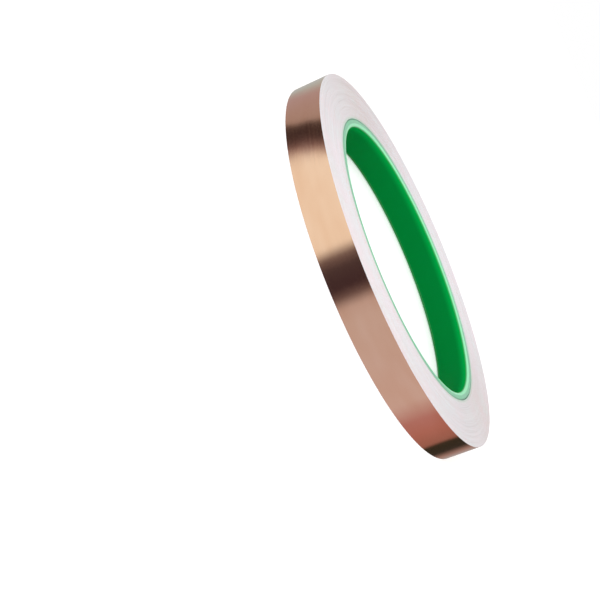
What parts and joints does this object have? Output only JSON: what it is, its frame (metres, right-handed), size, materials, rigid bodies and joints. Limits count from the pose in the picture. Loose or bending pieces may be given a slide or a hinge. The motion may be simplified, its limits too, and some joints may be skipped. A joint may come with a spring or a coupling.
{
  "type": "copper foil tape roll",
  "caption": "Roll of adhesive copper foil tape with paper release liner, wound foil side out on a plastic ring core; the free end lifts and its liner peels.",
  "frame": {"origin": "middle of the side face that the roll lies on, on the roll's axis", "axes": "+Z along the roll's axis, from the face it lies on towards the upper face; the tape's free end is at the +Y side"},
  "size_m": [0.1066, 0.1067, 0.0095],
  "materials": {
    "core_plastic": "semi-gloss translucent green moulded plastic",
    "tape_edges": "slit edges of foil and paper, matt, pinkish white with fine rings",
    "copper_foil": "bright rolled copper foil, lightly grained along its length",
    "adhesive": "thin clear acrylic adhesive, slightly milky",
    "liner_paper": "white glassine release paper, smooth"
  },
  "bodies": {
    "roll": {"core": "core_plastic", "wound_tape": "tape_edges", "outer_liner": "liner_paper", "outer_adhesive": "adhesive", "outer_foil": "copper_foil"},
    "free_end_tape": {"free_end_foil": "copper_foil", "free_end_adhesive": "adhesive"},
    "free_end_backing": {"free_end_liner": "liner_paper"}
  },
  "joints": [
    {"name": "free_end_lift", "type": "hinge", "parent": "roll", "child": "free_end_tape", "pos_m": [0.01108, 0.05212, 0.00475], "axis": [0, 0, -1], "range_deg": [0, 75]},
    {"name": "liner_peel", "type": "hinge", "parent": "roll", "child": "free_end_backing", "pos_m": [0.01074, 0.05213, 0.00475], "axis": [0, 0, -1], "range_deg": [0, 30]}
  ],
  "couplings": [
    {"joint": "liner_peel", "follows": "free_end_lift", "ratio": 0.4}
  ]
}
